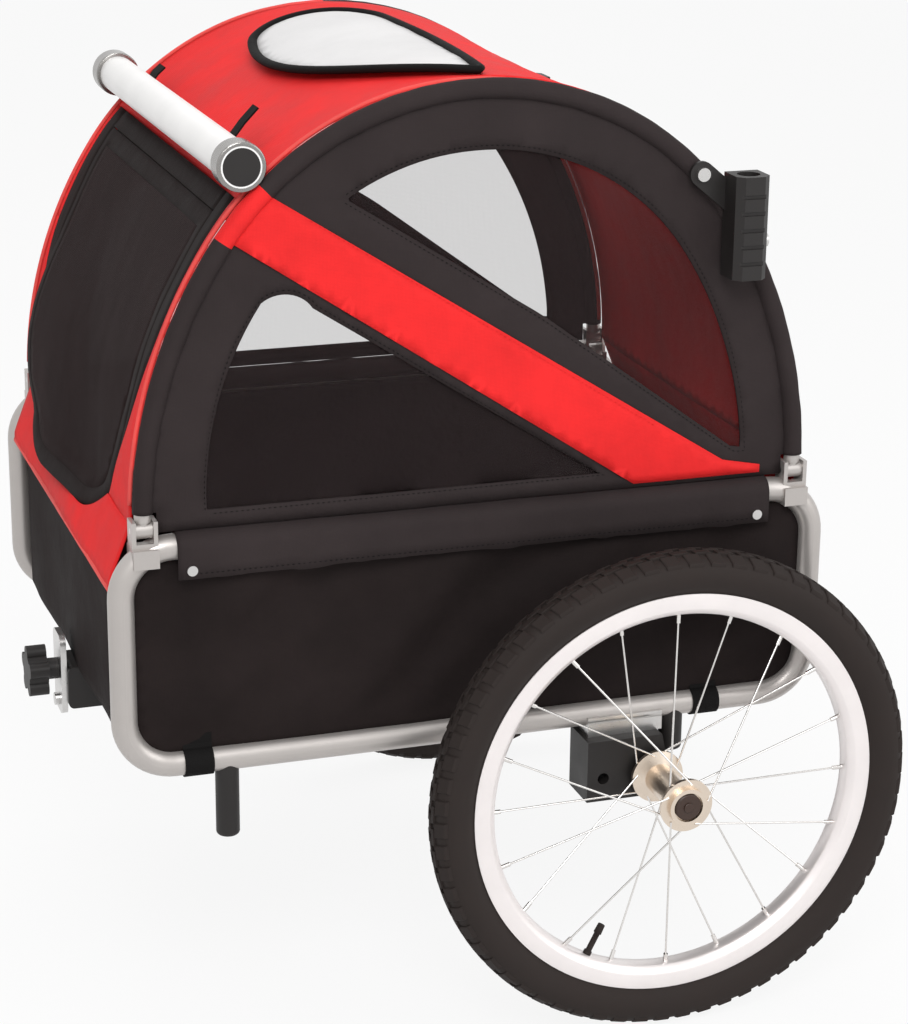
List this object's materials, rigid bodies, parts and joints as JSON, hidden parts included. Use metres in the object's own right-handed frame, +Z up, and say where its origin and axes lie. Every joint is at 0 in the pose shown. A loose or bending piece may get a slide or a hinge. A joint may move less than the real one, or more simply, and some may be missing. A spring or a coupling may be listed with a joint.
{
  "type": "dog bike trailer",
  "caption": "Two-wheeled pet trailer for a bicycle: tube frame with a cloth tub, folding arched sides with net windows, front door flap, roof flap, spreader bar and pull-off spoked wheels.",
  "frame": {"origin": "on the ground, in the middle of the outline of the trailer in plan", "axes": "+X the towing direction, +Y the trailer's left side, +Z up"},
  "size_m": [0.8242, 0.7816, 0.9552],
  "materials": {
    "frame_tube": "satin silver",
    "steel": "plated",
    "black_cloth": "coated woven cloth",
    "net": "fine net",
    "red_cloth": "coated woven cloth",
    "white_cloth": "coated cloth",
    "binding": "webbing",
    "black_plastic": "moulded",
    "bar_white": "satin",
    "bright_metal": "bright",
    "rim_metal": "polished",
    "tyre_rubber": "rubber",
    "button": "moulded"
  },
  "bodies": {
    "frame": {"left_loop": "frame_tube", "right_loop": "frame_tube", "rail_joiners": "steel", "cross_tubes": "frame_tube", "hem_rods": "frame_tube", "floor_board": "black_plastic", "left_wall": "black_cloth", "right_wall": "black_cloth", "front_wall": "black_cloth", "rear_wall": "black_cloth", "top_sleeves": "black_cloth", "wall_rivets": "steel", "rail_straps": "black_cloth", "front_feet": "black_plastic", "rear_feet": "black_plastic", "hinge_yokes": "steel", "hinge_pins": "steel", "axle_housings": "black_plastic", "axle_bushings": "steel", "axle_saddles": "steel", "hitch_block": "black_plastic", "hitch_plate": "steel", "hitch_bolt": "steel", "front_cover": "red_cloth", "rear_cover": "red_cloth", "roof_cover": "red_cloth"},
    "left_arch": {"left_hoop": "frame_tube", "left_knuckles": "steel", "left_side_panel": "black_cloth", "left_mesh": "net", "left_stripe": "red_cloth", "left_socket": "black_plastic", "left_socket_bolts": "steel"},
    "right_arch": {"right_hoop": "frame_tube", "right_knuckles": "steel", "right_side_panel": "black_cloth", "right_mesh": "net", "right_stripe": "red_cloth", "right_socket": "black_plastic", "right_socket_bolts": "steel"},
    "spreader": {"spreader_bar": "bar_white", "bar_collars": "bright_metal", "bar_plugs": "black_plastic"},
    "door": {"front_door": "net"},
    "flap": {"roof_flap": "white_cloth", "roof_flap_binding": "binding"},
    "knob": {"star_knob": "black_plastic"},
    "left_axle_unit": {"left_axle": "bright_metal"},
    "left_release": {"left_axle_button": "button"},
    "left_wheel": {"left_tyre": "tyre_rubber", "left_rim": "rim_metal", "left_spokes": "bright_metal", "left_hub": "bright_metal"},
    "right_axle_unit": {"right_axle": "bright_metal"},
    "right_release": {"right_axle_button": "button"},
    "right_wheel": {"right_tyre": "tyre_rubber", "right_rim": "rim_metal", "right_spokes": "bright_metal", "right_hub": "bright_metal"}
  },
  "joints": [
    {"name": "left_fold", "type": "hinge", "parent": "frame", "child": "left_arch", "pos_m": [0.01585, 0.27, 0.546], "axis": [1, 0, 0], "range_deg": [0, 116], "deforming": ["front_cover", "rear_cover", "roof_cover", "front_door", "roof_flap", "roof_flap_binding"]},
    {"name": "right_fold", "type": "hinge", "parent": "frame", "child": "right_arch", "pos_m": [0.01585, -0.27, 0.546], "axis": [-1, 0, 0], "range_deg": [0, 75]},
    {"name": "bar_off", "type": "slide", "parent": "frame", "child": "spreader", "axis": [0.6896, 0, 0.7242], "range_m": [0, 0.15]},
    {"name": "door_open", "type": "hinge", "parent": "frame", "child": "door", "pos_m": [0.26063, 0, 0.82902], "axis": [0, 1, 0], "range_deg": [-100, 0]},
    {"name": "flap_open", "type": "hinge", "parent": "frame", "child": "flap", "pos_m": [-0.00851, 0, 0.94735], "axis": [0, 1, 0], "range_deg": [-60, 0]},
    {"name": "knob_turn", "type": "hinge", "parent": "frame", "child": "knob", "pos_m": [0.39585, 0, 0.312], "axis": [1, 0, 0], "continuous": true},
    {"name": "left_wheel_off", "type": "slide", "parent": "frame", "child": "left_axle_unit", "axis": [0, 1, 0], "range_m": [0, 0.1]},
    {"name": "left_wheel_spin", "type": "hinge", "parent": "left_axle_unit", "child": "left_wheel", "pos_m": [-0.16215, 0.345, 0.25], "axis": [0, 1, 0], "continuous": true},
    {"name": "left_release_press", "type": "slide", "parent": "left_axle_unit", "child": "left_release", "axis": [0, -1, 0], "range_m": [0, 0.003], "stiffness_N_per_m": 600, "springref_m": -0.003},
    {"name": "right_wheel_off", "type": "slide", "parent": "frame", "child": "right_axle_unit", "axis": [0, -1, 0], "range_m": [0, 0.1]},
    {"name": "right_wheel_spin", "type": "hinge", "parent": "right_axle_unit", "child": "right_wheel", "pos_m": [-0.16215, -0.345, 0.25], "axis": [0, 1, 0], "continuous": true},
    {"name": "right_release_press", "type": "slide", "parent": "right_axle_unit", "child": "right_release", "axis": [0, 1, 0], "range_m": [0, 0.003], "stiffness_N_per_m": 600, "springref_m": -0.003}
  ],
  "couplings": [
    {"joint": "right_fold", "follows": "left_fold", "ratio": 0.64654},
    {"joint": "bar_off", "follows": "left_fold", "m_per_rad": 0.074}
  ]
}
